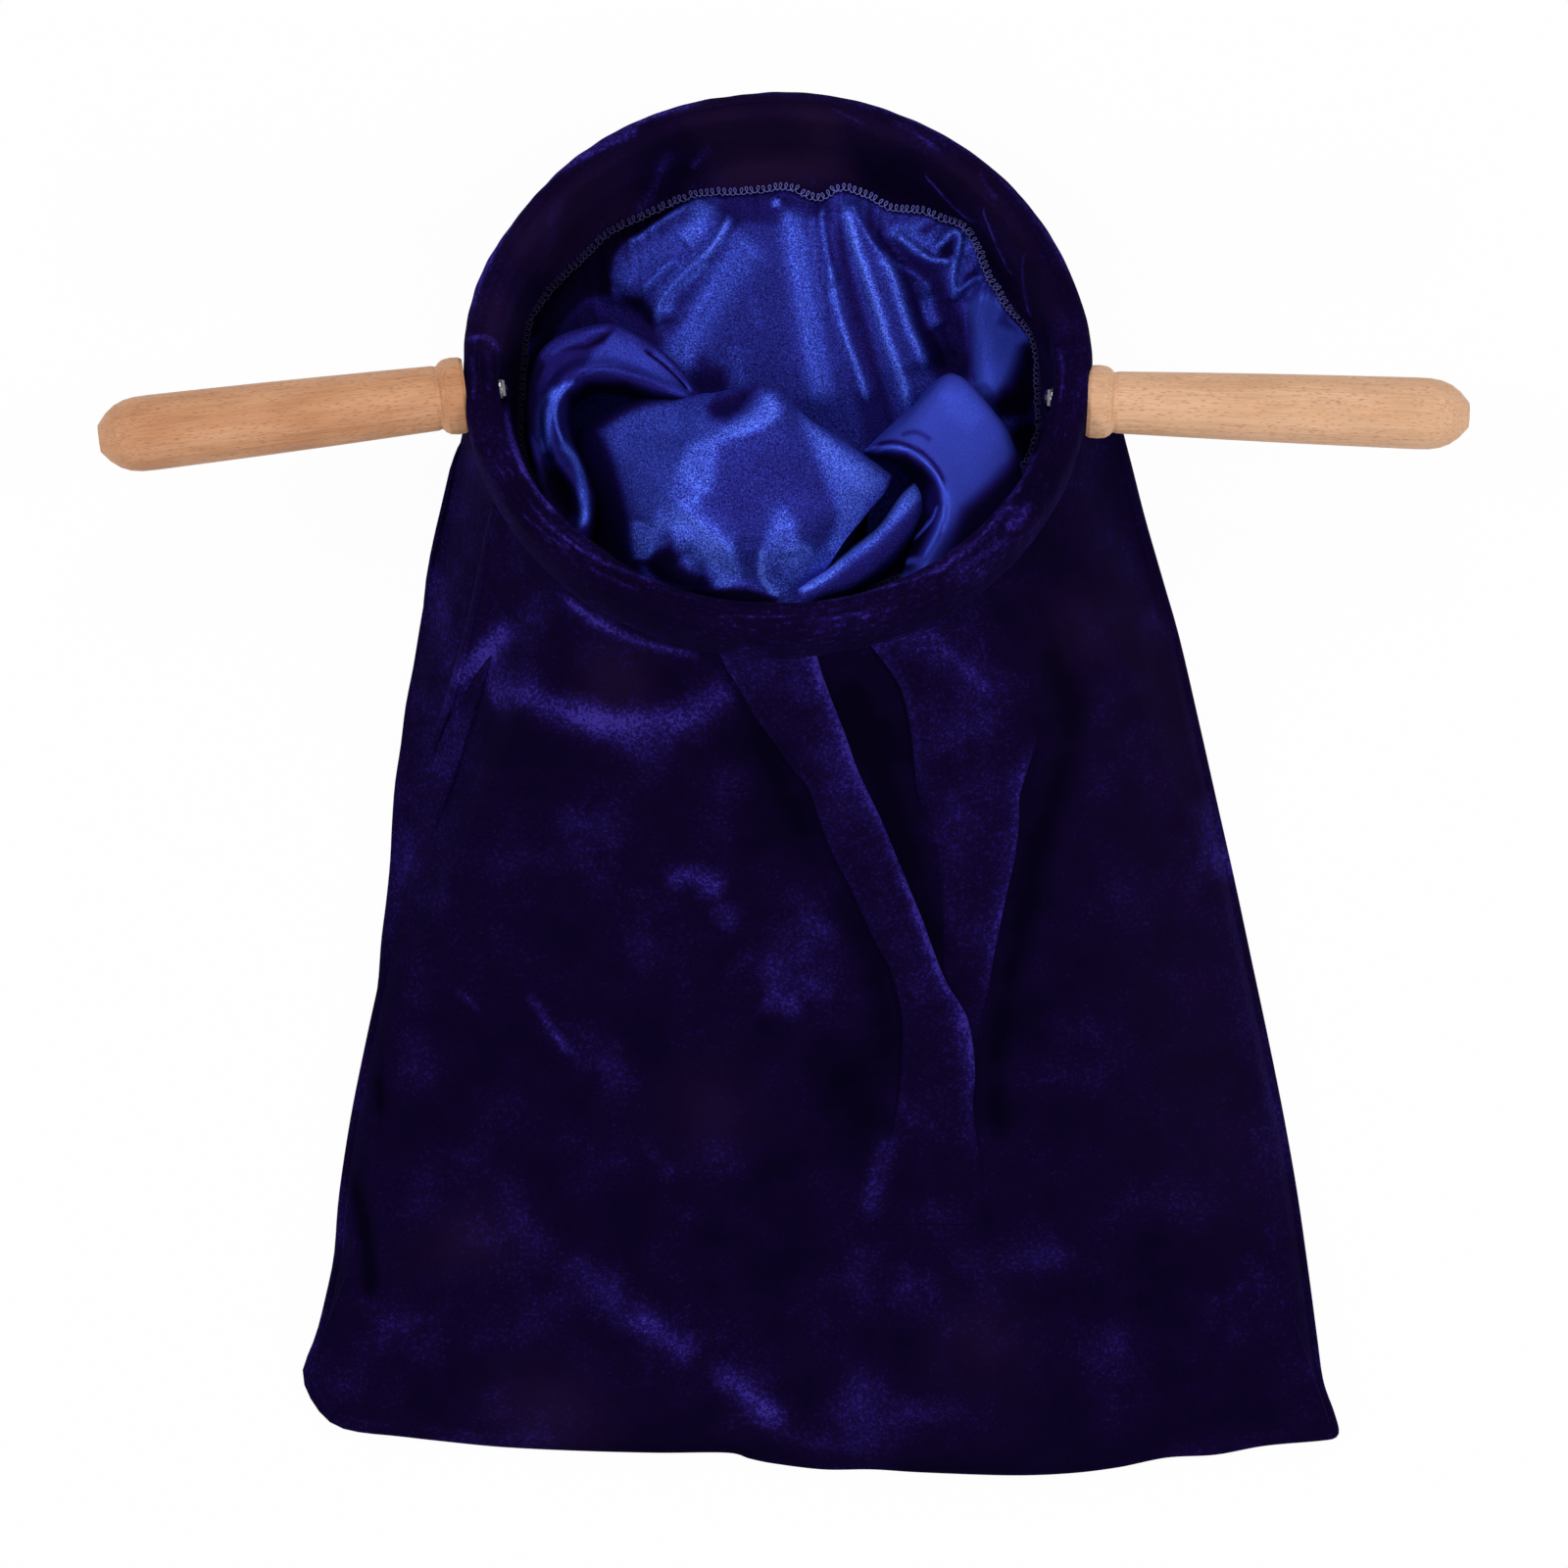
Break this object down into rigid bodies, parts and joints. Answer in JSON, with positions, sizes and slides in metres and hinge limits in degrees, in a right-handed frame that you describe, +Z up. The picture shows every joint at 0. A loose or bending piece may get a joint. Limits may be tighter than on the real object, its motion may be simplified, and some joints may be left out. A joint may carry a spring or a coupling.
{
  "type": "offertory bag",
  "caption": "Velvet collection bag with a satin lining, lying flat, its mouth held open by a covered hoop with a turned wooden handle on each side.",
  "frame": {"origin": "centre of the floor area that the lying bag and its handles cover, on the surface that it lies on", "axes": "+Z up from the surface; +X from the left handle to the right one; +Y from the hem to the mouth"},
  "size_m": [0.4468, 0.4613, 0.1116],
  "materials": {
    "velvet": "matte",
    "satin": "satin",
    "thread": "matte",
    "hoop_wood": "matte",
    "beech": "satin",
    "steel": "polished"
  },
  "bodies": {
    "bag": {"back_panel": "velvet", "front_panel": "velvet", "lining_back": "satin", "lining_front": "satin"},
    "rim": {"hoop": "hoop_wood", "rim_casing": "velvet", "rim_facing": "velvet", "serged_seam": "thread", "washer_left": "steel", "washer_right": "steel"},
    "handle_left": {"handle_left": "beech", "screw_left": "steel"},
    "handle_right": {"handle_right": "beech", "screw_right": "steel"}
  },
  "joints": [
    {"name": "rim_tilt", "type": "hinge", "parent": "bag", "child": "rim", "pos_m": [-0.00245, 0.22132, 0.0124], "axis": [-1, 0, 0], "range_deg": [0, 40], "deforming": ["front_panel", "lining_front"]},
    {"name": "handle_left_turn", "type": "hinge", "parent": "rim", "child": "handle_left", "pos_m": [-0.10392, 0.12715, 0.06035], "axis": [-0.9905, -0.1236, 0.06], "continuous": true},
    {"name": "handle_right_turn", "type": "hinge", "parent": "rim", "child": "handle_right", "pos_m": [0.09879, 0.12492, 0.06144], "axis": [0.9991, -0.0377, 0.0183], "continuous": true}
  ]
}
